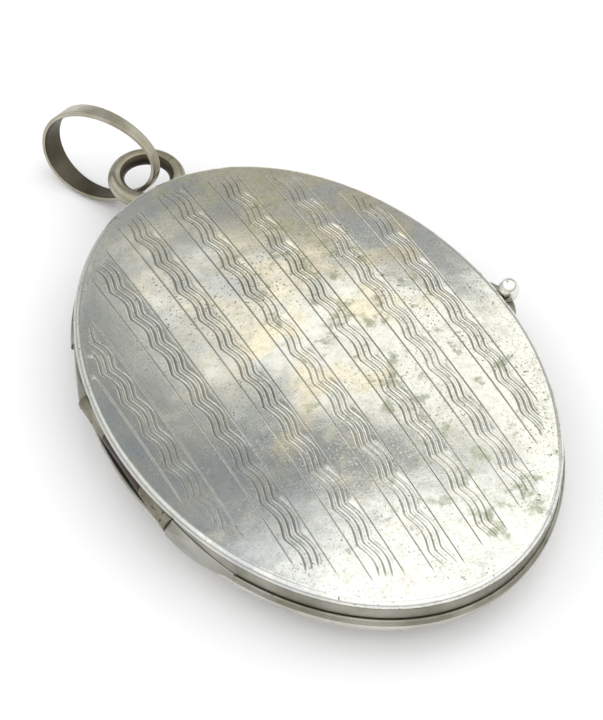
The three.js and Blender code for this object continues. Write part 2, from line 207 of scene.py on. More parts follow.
class Finish:
    def __init__(self, name, roughness=0.3, metallic=1.0):
        self.material = bpy.data.materials.new(name)
        self.material.use_nodes = True
        self.tree = self.material.node_tree
        self.shader = self.tree.nodes["Principled BSDF"]
        self.shader.inputs["Roughness"].default_value = roughness
        self.shader.inputs["Metallic"].default_value = metallic
        self.place = self.node("ShaderNodeTexCoord", output="Object")

    def node(self, kind, inputs=None, output=0, stops=None, **settings):
        made = self.tree.nodes.new(kind)
        for key, value in settings.items():
            setattr(made, key, value)
        if stops:
            ramp = made.color_ramp.elements
            while len(ramp) < len(stops):
                ramp.new(0.5)
            for element, (position, colour) in zip(ramp, stops):
                element.position = position
                element.color = (*colour, 1)
        for key, value in (inputs or {}).items():
            self.feed(made.inputs[key], value)
        return Wire(self, made.outputs[output])

    def feed(self, socket, value):
        if isinstance(value, Wire):
            self.tree.links.new(value.socket, socket)
        else:
            socket.default_value = value

    def set(self, **values):
        for key, value in values.items():
            self.feed(self.shader.inputs[key.replace("_", " ")], value)

    def cloud(self, size, detail=3.0, rough=0.5, stretch=(1, 1, 1), shift=(0, 0, 0), warp=0.0):
        """Soft noise between 0 and 1 whose patches are about `size` metres across."""
        where = self.node(
            "ShaderNodeMapping",
            {"Vector": self.place, "Location": shift, "Scale": stretch},
            vector_type="POINT",
        )
        return self.node(
            "ShaderNodeTexNoise",
            {
                "Vector": where,
                "Scale": 1 / size,
                "Detail": detail,
                "Roughness": rough,
                "Distortion": warp,
            },
            output="Fac",
        )

    def between(self, value, start, end):
        """0 below start, 1 above end, and a smooth rise between them."""
        inputs = {0: value, 1: start, 2: end}
        return self.node("ShaderNodeMapRange", inputs, interpolation_type="SMOOTHSTEP")

    def mix(self, mask, first, second, blend="MIX"):
        pair = {0: mask, 6: self.paint(first), 7: self.paint(second)}
        return self.node("ShaderNodeMix", pair, output=2, data_type="RGBA", blend_type=blend)

    def paint(self, colour):
        return colour if isinstance(colour, Wire) else (*colour, 1)

    def bump(self, height, strength, distance, under=None):
        inputs = {"Height": height, "Strength": strength, "Distance": distance}
        if under is not None:
            inputs["Normal"] = under
        return self.node("ShaderNodeBump", inputs)

    def attribute(self, name):
        return self.node("ShaderNodeAttribute", output="Fac", attribute_name=name)

    def along(self, axis):
        return self.node("ShaderNodeSeparateXYZ", {0: self.place}, output="XYZ".index(axis))


# %% [markdown]
# ## Camera, table and light
#
# The locket lies on its back and is seen from the hinge side, about fifty degrees above the
# table, with the ring pointing away. A long lens keeps the oval's proportions. The camera is
# placed by angle and distance round the lid's front edge, with a slight roll.

# %% Camera
VIEW_TURN = math.radians(-32.3)
VIEW_HEIGHT = math.radians(49.5)
VIEW_ROLL = math.radians(3.1)
VIEW_DISTANCE = 201 * MM
aim = Vector((0, 0, 5.3 * MM))
toward = Vector(
    (
        math.sin(VIEW_TURN) * math.cos(VIEW_HEIGHT),
        -math.cos(VIEW_TURN) * math.cos(VIEW_HEIGHT),
        math.sin(VIEW_HEIGHT),
    )
)
side = (-toward).cross(Vector((0, 0, 1))).normalized()
rise = side.cross(-toward)
turned_side = side * math.cos(VIEW_ROLL) + rise * math.sin(VIEW_ROLL)
turned_rise = rise * math.cos(VIEW_ROLL) - side * math.sin(VIEW_ROLL)
clear()
bpy.ops.object.camera_add()
camera = bpy.context.object
stand = Matrix((turned_side, turned_rise, toward)).transposed().to_4x4()
camera.matrix_world = Matrix.Translation(aim + toward * VIEW_DISTANCE) @ stand
camera.data.lens = 153.6
camera.data.shift_x = -0.0193
camera.data.shift_y = 0.0151
camera.data.clip_start = 0.01
camera.data.clip_end = 20
bpy.context.scene.camera = camera

# %% [markdown]
# Polished metal shows the room more than itself, so the light is laid out for its
# reflections. The room is white all round, apart from a darker, bluer part high on the far
# side, which the lid mirrors. Two soft panels hang in it: a long one that gives the middle
# of the lid its glow, and one high on the right for the near end. The gap between them is
# the dark band that crosses the lid.

# %% Light and room
PANEL_FAR = 0.6


def direction(turn, height):
    """A direction by its turn from +Y towards +X and its height above the table, in degrees."""
    turn, height = math.radians(turn), math.radians(height)
    flat = math.cos(height)
    return Vector((math.sin(turn) * flat, math.cos(turn) * flat, math.sin(height)))


def panel(name, turn, height, width, depth, glow, colour=(1, 1, 1), roll=0):
    """A soft panel that spans width and depth in degrees, with an even glow."""
    place = direction(turn, height) * PANEL_FAR
    clear()
    bpy.ops.object.light_add(type="AREA", location=place)
    lamp = bpy.context.object
    lamp.name = name
    lamp.data.shape = "RECTANGLE"
    lamp.data.size = 2 * PANEL_FAR * math.tan(math.radians(width / 2))
    lamp.data.size_y = 2 * PANEL_FAR * math.tan(math.radians(depth / 2))
    lamp.data.energy = glow * math.pi * lamp.data.size * lamp.data.size_y
    lamp.data.color = colour
    facing_case = (-place).to_track_quat("-Z", "Y").to_matrix()
    lamp.rotation_euler = (facing_case @ Matrix.Rotation(math.radians(roll), 3, "Z")).to_euler()
    print(f"{name}: {lamp.data.size:.2f} x {lamp.data.size_y:.2f} m")


panel("long_panel", 37, 46.2, 41, 18.5, 1.05, (1.0, 0.975, 0.91), roll=13)
panel("top_panel", 80, 66.3, 32, 60, 1.2, (1.0, 0.99, 0.96), roll=-18.4)

room = bpy.data.worlds.new("room")
room.use_nodes = True
nodes, links = room.node_tree.nodes, room.node_tree.links
looking = nodes.new("ShaderNodeTexCoord")
facing = nodes.new("ShaderNodeVectorMath")
facing.operation = "DOT_PRODUCT"
facing.inputs[1].default_value = direction(44, 56)
edge_of_dark = nodes.new("ShaderNodeValToRGB")
WHITE_ROOM = (1.5, 1.5, 1.5)
stops = (
    (0.0, WHITE_ROOM),
    (0.6, WHITE_ROOM),
    (0.86, (0.46, 0.48, 0.5)),
    (0.94, (0.34, 0.36, 0.375)),
    (0.985, (0.24, 0.255, 0.265)),
)
while len(edge_of_dark.color_ramp.elements) < len(stops):
    edge_of_dark.color_ramp.elements.new(0.5)
for stop, (position, colour) in zip(edge_of_dark.color_ramp.elements, stops):
    stop.position = position
    stop.color = (*colour, 1)
links.new(looking.outputs["Generated"], facing.inputs[0])
links.new(facing.outputs["Value"], edge_of_dark.inputs["Fac"])
height = nodes.new("ShaderNodeSeparateXYZ")
horizon = nodes.new("ShaderNodeMapRange")
horizon.inputs["From Min"].default_value = 0.05
horizon.inputs["From Max"].default_value = 0.5
horizon.inputs["To Min"].default_value = 0.3
links.new(looking.outputs["Generated"], height.inputs[0])
links.new(height.outputs["Z"], horizon.inputs["Value"])
links.new(edge_of_dark.outputs["Color"], nodes["Background"].inputs["Color"])
links.new(horizon.outputs["Result"], nodes["Background"].inputs["Strength"])
bpy.context.scene.world = room
bpy.context.scene.view_settings.view_transform = "Standard"

# %% Table
clear()
bpy.ops.mesh.primitive_plane_add(size=3, location=(0, 0, -0.02 * MM))
table = named("table")
white = Finish("pale_table", roughness=0.9, metallic=0.0)
grain = white.cloud(6 * MM, detail=4)
white.set(Base_Color=white.mix(grain * 0.12, (0.93, 0.93, 0.94), (0.88, 0.88, 0.89)))
white.set(Normal=white.bump(white.cloud(0.4 * MM), 0.08, 0.05 * MM))
table.data.materials.append(white.material)

# %% [markdown]
# ## Oval rings
#
# Nearly everything on the case is an oval ring with a shaped section: covers, bands, bead.
# Each starts as a circle that is stretched to the case's outline. Its edge is then extruded
# again and again, moved to the next level and drawn in or out, so that it follows the
# section as metal follows a spinning chuck. Equal insets keep the rings parallel.

# %% Spinning an oval section
STEPS = 224


def oval_section(name, section, closed=False, steps=STEPS):
    """Draws a section of (inset, level) pairs, in millimetres, round the outline."""
    clear()
    bpy.ops.mesh.primitive_circle_add(vertices=steps, radius=1)
    piece = named(name)
    points = section + section[:1] if closed else section
    with shaping(piece):
        bpy.ops.mesh.select_all(action="SELECT")
        at_x, at_y, at_z = 1.0, 1.0, 0.0
        for count, (inset, level) in enumerate(points):
            if count:
                bpy.ops.mesh.extrude_edges_move()
            to_x, to_y, to_z = half_width - inset * MM, half_length - inset * MM, level * MM
            scale = (to_x / at_x, to_y / at_y, 1)
            bpy.ops.transform.resize(value=scale, center_override=(0, 0, 0))
            bpy.ops.transform.translate(value=(0, 0, to_z - at_z))
            at_x, at_y, at_z = to_x, to_y, to_z
        bpy.ops.mesh.select_all(action="SELECT")
        bpy.ops.mesh.remove_doubles(threshold=1e-6)
        bpy.ops.mesh.normals_make_consistent(inside=False)
    return piece


def rounded_corners(corners, radius):
    """Replaces each corner of a closed section by three points on a small round."""
    points = []
    for i, here in enumerate(corners):
        before, after = Vector(corners[i - 1]), Vector(corners[(i + 1) % len(corners)])
        here = Vector(here)
        start = here + (before - here).normalized() * radius
        end = here + (after - here).normalized() * radius
        middle = here * 0.5858 + (start + end) * 0.2071
        points += [tuple(start), tuple(middle), tuple(end)]
    return points


# %% [markdown]
# ## Handing a piece in
#
# A finished piece rides on the body that carries it, stands for the plain node it replaces, and takes
# the finish that it is given.


# %% Handing in
def hand_in(piece, body, slot, finish, *nodes, grime_and_shade=None, where=None):
    settle(piece)
    piece.data.materials.clear()
    piece.data.materials.append(finish.material)
    # The second finish is grime with painted shade, put on the faces that `where` picks.
    if grime_and_shade:
        piece.data.materials.append(grime_and_shade.material)
        for face in piece.data.polygons:
            face.material_index = int(where(face))
    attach(piece, body)
    if nodes:
        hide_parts(*nodes)
    print(f"{piece.name}: {len(piece.data.polygons)} faces on {body}")


def copy_of(node, name):
    """A plain node's shape, merged and cleaned, to be softened by hand."""
    clear()
    piece = bpy.data.objects.new(name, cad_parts[node].data.copy())
    bpy.context.scene.collection.objects.link(piece)
    piece.data.name = name
    with shaping(piece):
        bpy.ops.mesh.select_all(action="SELECT")
        bpy.ops.mesh.remove_doubles(threshold=1e-6)
        bpy.ops.mesh.dissolve_limited(angle_limit=math.radians(0.5))
    return piece


# %% [markdown]
# ## Old silver
#
# Silver that has been worn for a century is bright where it is rubbed, and grey, olive and
# brown where it is not. Each silver finish mixes a clean tone with a tarnish through a
# cloud mask, adds dark specks and fine scratches, and varies the gloss in the same places.


# %% Silver finishes
def old_silver(name, clean, tarnish, amount, roughness, speck=0.5, grime=(0.07, 0.06, 0.035)):
    finish = Finish(name)
    patches = finish.cloud(5 * MM, detail=6, rough=0.6, warp=0.2)
    film = finish.between(patches, 0.4 - amount * 0.3, 0.95 - amount * 0.4)
    flecks = finish.between(finish.cloud(0.45 * MM, detail=3, rough=0.6, shift=(3, 1, 2)), 0.62, 0.74)
    dirt = (flecks * finish.between(finish.cloud(4 * MM, shift=(7, 5, 3)), 0.42, 0.62)) * speck
    colour = finish.mix(film, clean, tarnish)
    colour = finish.mix(dirt.capped(), colour, grime)
    scratches = finish.cloud(0.22 * MM, detail=4, stretch=(1, 0.09, 1))
    pits = finish.cloud(0.3 * MM, detail=5, rough=0.7)
    finish.set(Base_Color=colour)
    gloss = film * 0.12 + dirt * 0.35 + scratches * 0.1 + (roughness - 0.05)
    finish.set(Roughness=gloss.capped())
    wobble = finish.bump(finish.cloud(2.4 * MM, detail=2), 0.22, 0.12 * MM)
    finish.set(Normal=finish.bump(scratches * 0.5 + pits * 0.5, 0.16, 0.03 * MM, wobble))
    return finish


band_silver = old_silver("band_silver", (0.38, 0.37, 0.32), (0.16, 0.15, 0.11), 0.5, 0.28, 1.1)
back_silver = old_silver("back_silver", (0.68, 0.66, 0.59), (0.36, 0.36, 0.31), 0.4, 0.24, 0.7)
wing_silver = old_silver("wing_silver", (0.44, 0.44, 0.4), (0.2, 0.19, 0.15), 0.5, 0.3, 1.3)
ring_silver = old_silver("ring_silver", (0.56, 0.53, 0.44), (0.22, 0.2, 0.13), 0.5, 0.3, 0.8)
ball_silver = old_silver("ball_silver", (0.83, 0.81, 0.77), (0.5, 0.47, 0.4), 0.15, 0.12, 0.35)
hinge_silver = old_silver("hinge_silver", (0.36, 0.34, 0.28), (0.13, 0.12, 0.08), 0.6, 0.4, 1.6)
# Grime and painted shade: this nearly black silver goes inside the ring's hole and the bail's loop,
# standing for the shade there as well as dirt.
ring_grime_and_shade = old_silver("ring_grime_and_shade", (0.13, 0.115, 0.085), (0.06, 0.05, 0.035), 0.5, 0.4, 0.8)
dark_hinge = old_silver("dark_hinge", (0.1, 0.08, 0.075), (0.045, 0.035, 0.03), 0.4, 0.32, 0.6)
inner_silver = old_silver("inner_silver", (0.74, 0.73, 0.7), (0.5, 0.47, 0.4), 0.25, 0.3, 0.3)

# %% [markdown]
# ## The engraved cover
#
# The lid is a shallow dome cut with seven bands. A band is two straight border lines with
# three wavy lines between them, rocked along with a graver, so that each cut is broad where
# the tool leaned and hair-thin where it came back. A bump map would look right from above
# and vanish at the rim, so the cuts are real. A grid is the start, and its columns are laid
# along the lines themselves, close together at a cut and far apart on the plain silver. That
# takes a tenth of the faces that an even grid would need.

# %% Lines to engrave
BAND_COUNT = 7
BAND_FIRST = -11.9
BAND_PITCH = 3.72
BAND_WIDTH = 2.02
LINE_HALF = 0.028
LINE_DEPTH = 0.022
WAVE_LENGTH = 2.93
WAVE_SWING = 0.4
WAVE_SPACING = 0.43
WAVE_START = 0.25
WAVE_STEP = 0.28
WAVE_DEPTH = 0.021
HAIR_HALF = 0.016
HAIR_DEPTH = 0.007
ROW_STEP = 0.135
EDGE_INSET = 0.5
COVER_RISE = 1.45
CROWN = 0.9

edge_x = half_width / MM - EDGE_INSET
edge_y = half_length / MM - EDGE_INSET
edge_level = lid_lip / MM + EDGE_INSET
crown_share = (CROWN / edge_x) ** 2


def wave(y, band):
    """How far a wavy line of this band stands aside at y, and how hard the graver leaned."""
    drift = 0.1 * np.sin(y / 3.1 + 1.7 * band) + WAVE_STEP * band
    turn = np.pi * (y - WAVE_START - drift) / WAVE_LENGTH
    arc = np.sqrt(np.sin(turn) ** 2 + 0.06)
    return WAVE_SWING * (arc - 0.6), 0.5 + 0.5 * np.sin(2 * turn)


def columns(y):
    """Every column of the grid as (place across, depth of cut, share of cut), at the rows y."""
    flat = np.zeros_like(y)
    made = []
    for band in range(BAND_COUNT):
        middle = BAND_FIRST + BAND_PITCH * band
        sway, lean = wave(y, band)
        for border in (-BAND_WIDTH / 2, BAND_WIDTH / 2):
            for share, depth in ((-3, 0), (-1.6, 0), (-0.5, 1), (0.5, 1), (1.6, 0), (3, 0)):
                across = middle + border + share * LINE_HALF
                made.append((flat + across, flat + depth * LINE_DEPTH, flat + depth))
        for line in (-1, 0, 1):
            half = 0.03 + 0.038 * lean
            depth = WAVE_DEPTH * (0.4 + 0.6 * lean)
            centre = middle + line * WAVE_SPACING + sway
            for share, cut in ((-2.4, 0), (-1.5, 0), (-0.6, 1), (0.35, 0.9), (1.4, -0.1), (2.4, 0)):
                made.append((centre + share * half, depth * cut, flat + max(cut, 0)))
            for share, cut in ((-1.8, 0), (0, 1), (1.8, 0)):
                beside = centre + WAVE_SPACING / 2 + share * HAIR_HALF
                made.append((beside, flat + cut * HAIR_DEPTH, flat + cut * 0.5))
    for gap in range(BAND_COUNT + 1):
        middle = BAND_FIRST + BAND_PITCH * (gap - 0.5)
        for share in (-0.3, 0, 0.3):
            made.append((flat + middle + share * (BAND_PITCH - BAND_WIDTH), flat, flat))
    made.append((flat - edge_x - 0.2, flat, flat))
    made.append((flat + edge_x + 0.2, flat, flat))
    return sorted(made, key=lambda column: column[0][0])


rows = np.arange(-edge_y - ROW_STEP, edge_y + 2 * ROW_STEP, ROW_STEP)
lines = columns(rows)
print(f"{len(lines)} columns by {len(rows)} rows")

# %% [markdown]
# The engraving runs out before it reaches the rim, further from it at the near end, because
# the graver needs room to stop. The grid is laid over the dome, trimmed to the oval, and the
# corners on the cut edge are drawn out to the oval itself, so that the rim is a clean line.


# %% Laying the grid over the dome
def run_out(x, y):
    """1 where the graver cuts, falling to 0 near the rim."""
    share = np.sqrt((x / edge_x) ** 2 + (y / edge_y) ** 2)
    ragged = 0.012 * np.sin(1.9 * x) + 0.008 * np.sin(4.3 * x + 1)
    limit = 0.97 + ragged - 0.05 * np.clip(-y / edge_y, 0, 1)
    return np.clip((limit - share) / 0.02, 0, 1)


def dome(x, y):
    share = np.maximum((x / edge_x) ** 2 + (y / edge_y) ** 2, crown_share)
    return edge_level + COVER_RISE * (1 - (share - crown_share) / (1 - crown_share))


clear()
bpy.ops.mesh.primitive_grid_add(x_subdivisions=len(lines) - 1, y_subdivisions=len(rows) - 1, size=2)
cover = named("engraved_cover")
mesh = cover.data
grid_x = np.array([column[0] for column in lines]).T.ravel()
grid_depth = np.array([column[1] for column in lines]).T.ravel()
grid_cut = np.array([column[2] for column in lines]).T.ravel()
grid_y = np.repeat(rows, len(lines))
keep = run_out(grid_x, grid_y)
grid_z = dome(grid_x, grid_y) - grid_depth * keep
mesh.vertices.foreach_set("co", (np.stack([grid_x, grid_y, grid_z], 1) * MM).ravel())
cut_share = mesh.attributes.new("cut", "FLOAT", "POINT")
cut_share.data.foreach_set("value", (grid_cut * keep).astype(np.float32))
outside = (grid_x / edge_x) ** 2 + (grid_y / edge_y) ** 2 > 0.9995
with shaping(cover):
    bpy.ops.mesh.select_all(action="DESELECT")
mesh.vertices.foreach_set("select", outside)
with shaping(cover):
    bpy.ops.mesh.delete(type="VERT")
    bpy.ops.mesh.select_all(action="SELECT")
    bpy.ops.mesh.region_to_loop()
for vertex in mesh.vertices:
    if vertex.select:
        x, y = vertex.co.x / MM / edge_x, vertex.co.y / MM / edge_y
        out = math.hypot(x, y)
        vertex.co = Vector((x / out * edge_x, y / out * edge_y, edge_level)) * MM
print(f"{len(mesh.polygons)} faces on the dome")

# %% [markdown]
# The rim turns down through a quarter round, and the inside follows the outside a sheet's
# thickness below. The loop of edges at the oval is copied off, drawn through that section
# on its own, where each step is light work, and joined to the dome again.


# %% Rim and inside
def draw_on(section, start):
    """Extrudes the selected loop through (inset, level, share of the oval) steps."""
    at_x, at_y, at_z = start
    for inset, level, share in section:
        to_x = (half_width / MM - inset) * share
        to_y = (half_length / MM - inset) * share
        bpy.ops.mesh.extrude_edges_move()
        bpy.ops.transform.resize(value=(to_x / at_x, to_y / at_y, 1), center_override=(0, 0, 0))
        bpy.ops.transform.translate(value=(0, 0, (level - at_z) * MM))
        at_x, at_y, at_z = to_x, to_y, level


lip_level = lid_lip / MM
sheet = SHEET / MM
round_off = [math.radians(a) for a in (76, 64, 50, 36, 22, 8)]
rim = [(EDGE_INSET * (1 - math.cos(a)), lip_level + EDGE_INSET * math.sin(a), 1) for a in round_off]
rim += [(0, lip_level + 0.03, 1), (0.03, lip_level, 1)]
rim += [(sheet, lip_level, 1), (sheet + 0.03, lip_level + 0.07, 1)]
for share in (1, 0.9, 0.72, 0.5, 0.3, CROWN / edge_x):
    drop = (share**2 - crown_share) / (1 - crown_share)
    rim.append((EDGE_INSET, edge_level - sheet + COVER_RISE * (1 - drop), share))
with shaping(cover):
    bpy.ops.mesh.select_all(action="SELECT")
    bpy.ops.mesh.region_to_loop()
    bpy.ops.mesh.duplicate()
    bpy.ops.mesh.separate(type="SELECTED")
edge = [o for o in bpy.context.selected_objects if o is not cover][0]
with shaping(edge, "EDGE"):
    bpy.ops.mesh.select_all(action="SELECT")
    draw_on(rim, (edge_x, edge_y, edge_level))
    bpy.ops.mesh.merge(type="CENTER")
hold(cover)
edge.select_set(True)
bpy.ops.object.join()
with shaping(cover):
    bpy.ops.mesh.select_all(action="SELECT")
    bpy.ops.mesh.remove_doubles(threshold=1e-6)
    bpy.ops.mesh.normals_make_consistent(inside=False)
smooth_over(cover, 60)
print(f"{len(mesh.polygons)} faces with rim and inside")

# %% [markdown]
# ## The cover's finish
#
# The cover has been polished thousands of times on cloth, so it is the brightest piece. Its film of
# tarnish is thin and cloudy, and painted reflections lie over it: blue-grey towards the hinge and the
# ring for the room's darker part that the lid mirrors, and cream where the film is thicker for the warm
# bright panels. There are mossy patches right of the middle, olive grime left in the cuts and dark
# specks where the silver is pitted.

# %% Engraved silver
cover_silver = Finish("engraved_silver")
across = cover_silver.along("X") * (1 / MM)
up_along = cover_silver.along("Y") * (1 / MM)
clouds = cover_silver.cloud(5 * MM, detail=5, rough=0.55, warp=0.3)
mottle = cover_silver.cloud(0.7 * MM, detail=6, rough=0.7, shift=(2, 6, 1))
pores = cover_silver.cloud(0.22 * MM, detail=3, rough=0.6, shift=(4, 2, 6))
# Painted reflection over real tarnish: blue-grey patches towards the hinge and the ring stand for the
# dark part of the room mirrored in the lid.
blue_film_and_reflection = cover_silver.between(across * -0.03 + up_along * 0.008 + clouds * 1.2, 0.5, 0.95)
# Painted warm reflection over tarnish: cream patches where the film is thicker.
cream_film_and_reflection = cover_silver.between(
    cover_silver.cloud(3.5 * MM, detail=4, shift=(9, 4, 2)) + up_along * 0.012 + across * -0.008,
    0.44,
    0.66,
)
specks = cover_silver.between(cover_silver.cloud(0.17 * MM, detail=3, shift=(5, 3, 8)), 0.61, 0.7)
speck_field = cover_silver.between(
    cover_silver.cloud(5 * MM, detail=3, shift=(1, 8, 4)) + across * 0.005, 0.4, 0.6
)
off_side = across - 4
moss_place = 0.1 - off_side.maths("ABSOLUTE", off_side) * 0.012
moss = cover_silver.between(
    cover_silver.cloud(1.6 * MM, detail=5, rough=0.65, shift=(6, 1, 7)) + moss_place, 0.61, 0.72
)
grime = cover_silver.attribute("cut")
tone = cover_silver.mix(cream_film_and_reflection * 0.8, (0.79, 0.79, 0.74), (0.88, 0.79, 0.58))
tone = cover_silver.mix(blue_film_and_reflection * 0.75, tone, (0.42, 0.45, 0.46))
tone = cover_silver.mix(cover_silver.between(mottle, 0.42, 0.72) * 0.4, tone, (0.42, 0.41, 0.32))
tone = cover_silver.mix(cover_silver.between(pores, 0.5, 0.75) * 0.35, tone, (0.3, 0.29, 0.22))
tone = cover_silver.mix(moss * 0.6, tone, (0.28, 0.31, 0.18))
tone = cover_silver.mix(specks * speck_field * 0.85, tone, (0.1, 0.1, 0.06))
caked = cover_silver.between(clouds, 0.25, 0.75) * 0.4 + 0.58
tone = cover_silver.mix(grime * caked, tone, (0.13, 0.125, 0.08))
cover_silver.set(Base_Color=tone)
hairlines = cover_silver.cloud(0.15 * MM, detail=4, stretch=(1, 0.06, 1))
dull = blue_film_and_reflection * 0.04 + cream_film_and_reflection * 0.03 + specks * speck_field * 0.3 + grime * 0.2
cover_silver.set(Roughness=(dull + moss * 0.2 + hairlines * 0.06 + mottle * 0.08 + 0.08).capped())
dents = cover_silver.bump(cover_silver.cloud(4.5 * MM, detail=2), 0.3, 0.2 * MM)
relief = specks * speck_field * -1.0 + hairlines * 0.25 + pores * 0.3 + mottle * 0.4
cover_silver.set(Normal=cover_silver.bump(relief, 0.25, 0.03 * MM, dents))
hand_in(cover, "lid", "engraved_silver", cover_silver, "front_cover")

# %% [markdown]
# ## Covers, bands and bead
#
# The back is a deeper pressed cover with a larger round, plain and worn. Its side band and
# the lid's are strips bent round the oval with their corners rubbed round. A half-round bead
# is soldered on round the mouth of the back, and a thin inner band stands up inside it for
# the lid to close over. All of them are cut away where the hinge sits.

# %% Back cover
BACK_ROUND = 1.3
back_rise = band_foot / MM - BACK_ROUND
foot = band_foot / MM
outer = [(0.03, foot), (0, foot - 0.04)]
for angle in (6, 16, 26, 36, 46, 56, 66, 76):
    a = math.radians(angle)
    outer.append((BACK_ROUND * (1 - math.cos(a)), foot - BACK_ROUND * math.sin(a)))
flat_share = CROWN / (half_width / MM - BACK_ROUND)
back_crown = flat_share**2
shares = (1, 0.96, 0.9, 0.82, 0.72, 0.6, 0.48, 0.36, 0.24, 0.14, flat_share)


def back_level(share):
    return back_rise * (share**2 - back_crown) / (1 - back_crown)


clear()
bpy.ops.mesh.primitive_circle_add(vertices=STEPS, radius=1)
back = named("back_shell")
bend = BACK_ROUND - sheet
inner = []
for angle in (88, 60, 35, 12, 0):
    a = math.radians(angle)
    inner.append((BACK_ROUND - bend * math.cos(a), foot - bend * math.sin(a), 1))
skin = [(inset, level, 1) for inset, level in outer]
skin += [(BACK_ROUND, back_level(share), share) for share in shares]
inside = [(BACK_ROUND, back_level(share) + sheet, share) for share in reversed(shares)] + inner
with shaping(back):
    bpy.ops.mesh.select_all(action="SELECT")
    bpy.ops.transform.translate(value=(0, 0, foot * MM))
    first_x, first_y = half_width - sheet * MM, half_length - sheet * MM
    bpy.ops.transform.resize(value=(first_x, first_y, 1), center_override=(0, 0, 0))
    draw_on(skin, (first_x / MM, first_y / MM, foot))
    bpy.ops.mesh.edge_face_add()
    bpy.ops.mesh.select_all(action="DESELECT")
clear()
bpy.ops.mesh.primitive_circle_add(vertices=STEPS, radius=1)
lining = named("lining")
share_x, share_y, low_level = [
    (half_width / MM - BACK_ROUND) * inside[0][2],
    (half_length / MM - BACK_ROUND) * inside[0][2],
    inside[0][1],
]
with shaping(lining):
    bpy.ops.mesh.select_all(action="SELECT")
    bpy.ops.transform.translate(value=(0, 0, low_level * MM))
    bpy.ops.transform.resize(value=(share_x * MM, share_y * MM, 1), center_override=(0, 0, 0))
    bpy.ops.mesh.edge_face_add()
    draw_on(inside[1:], (share_x, share_y, low_level))
hold(back)
lining.select_set(True)
bpy.ops.object.join()
with shaping(back):
    bpy.ops.mesh.select_all(action="SELECT")
    bpy.ops.mesh.remove_doubles(threshold=1e-6)
    bpy.ops.mesh.normals_make_consistent(inside=False)
smooth_over(back, 50)
hand_in(back, "back", "silver", back_silver, "back_cover")

# %% Side bands
BIG = 60
HINGE_CUT = 5.9
HINGE_SLOPE_FOOT = 16.56
HINGE_CUT_LOW = 2.88
HINGE_CUT_TOP = 4.80
WING_CUT = 10.92
CORNER_ROUND = 0.05
hinge_at = hinge_y / MM
axis_level = hinge_z / MM


def band_section(outer, inner, bottom, top):
    return rounded_corners([(outer, bottom), (outer, top), (inner, top), (inner, bottom)], CORNER_ROUND)


def hinge_block(half, bottom, top, far=-5.0):
    y0, y1 = (hinge_at - half) * MM, (hinge_at + half) * MM
    return block(-BIG * MM, far * MM, y0, y1, bottom * MM, top * MM)


lid_band_top = high("front_band").z / MM
lid_band = oval_section("lid_band", band_section(0, sheet, lid_foot / MM, lid_band_top), True)
opening = hinge_block(HINGE_SLOPE_FOOT, HINGE_CUT_LOW, HINGE_CUT_TOP)
with shaping(opening):
    bpy.ops.mesh.select_all(action="DESELECT")
for vertex in opening.data.vertices:
    vertex.select = vertex.co.z > 4 * MM
with shaping(opening):
    slope = (1, HINGE_CUT / HINGE_SLOPE_FOOT, 1)
    bpy.ops.transform.resize(value=slope, center_override=(0, hinge_at * MM, 0))
cut_with(lid_band, opening)
smooth_over(lid_band)
hand_in(lid_band, "lid", "silver", band_silver, "front_band")

back_foot = low("back_band").z / MM
body_band = oval_section("body_band", band_section(0, sheet, back_foot, mouth / MM), True)
cut_with(body_band, hinge_block(HINGE_CUT, axis_level - 0.78, 6))
smooth_over(body_band)
hand_in(body_band, "back", "silver", band_silver, "back_band")

# %% Bead and inner band
BEAD_LAP = 0.03
BEAD_SWELL = 0.19
bead_low = low("back_bead").z / MM
bead_high = high("back_bead").z / MM
bulge = []
for angle in range(0, 181, 20):
    a = math.radians(angle)
    swell = BEAD_LAP + BEAD_SWELL * math.sin(a)
    bulge.append((-swell, (bead_low + bead_high) / 2 - math.cos(a) * (bead_high - bead_low) / 2))
bead = oval_section("mouth_bead", bulge, True)
cut_with(bead, hinge_block(WING_CUT, 0, 6))
smooth_over(bead, 50)
hand_in(bead, "back", "silver", band_silver, "back_bead")

catch_low = low("catch_band").z / MM
catch_high = high("catch_band").z / MM
CATCH_OUTSIDE = 0.46
CATCH_INSIDE = 0.71
catch_sides = band_section(CATCH_OUTSIDE, CATCH_INSIDE, catch_low, catch_high)
catch = oval_section("inner_band", catch_sides, True)
catch_end = low("catch_band").x
cut_with(catch, block(-BIG * MM, catch_end, -BIG * MM, BIG * MM, 0, 10 * MM))
smooth_over(catch)
hand_in(catch, "back", "silver", inner_silver, "catch_band")

# %% [markdown]
# ## The hinge
#
# Three knuckles of drawn tube turn on a wire. A knuckle starts as a cylinder, a leaf of strip is
# soldered along it, and the hole is drilled through. The end knuckles belong to the back, the middle one
# to the lid.

# %% Knuckles
BARREL_RADIUS = 0.6
HOLE_RADIUS = 0.29
LEAF_WIDTH = 0.55


def knuckle(name, node, leaf_x, leaf_low, leaf_high):
    y0, y1 = low(node).y, high(node).y
    centre = Vector((hinge_x, (y0 + y1) / 2, hinge_z))
    clear()
    bpy.ops.mesh.primitive_cylinder_add(
        vertices=48,
        radius=BARREL_RADIUS * MM,
        depth=y1 - y0,
        location=centre,
        rotation=(math.pi / 2, 0, 0),
    )
    tube = named(name)
    settle(tube)
    leaf = block(hinge_x, hinge_x + leaf_x * MM, y0, y1, leaf_low * MM, leaf_high * MM)
    cut_with(tube, leaf, "UNION")
    clear()
    bpy.ops.mesh.primitive_cylinder_add(
        vertices=32,
        radius=HOLE_RADIUS * MM,
        depth=2 * (y1 - y0),
        location=centre,
        rotation=(math.pi / 2, 0, 0),
    )
    drill = named("drill")
    cut_with(tube, drill)
    soften(tube, 0.05 * MM, segments=3, angle=50, smooth=40)
    return tube


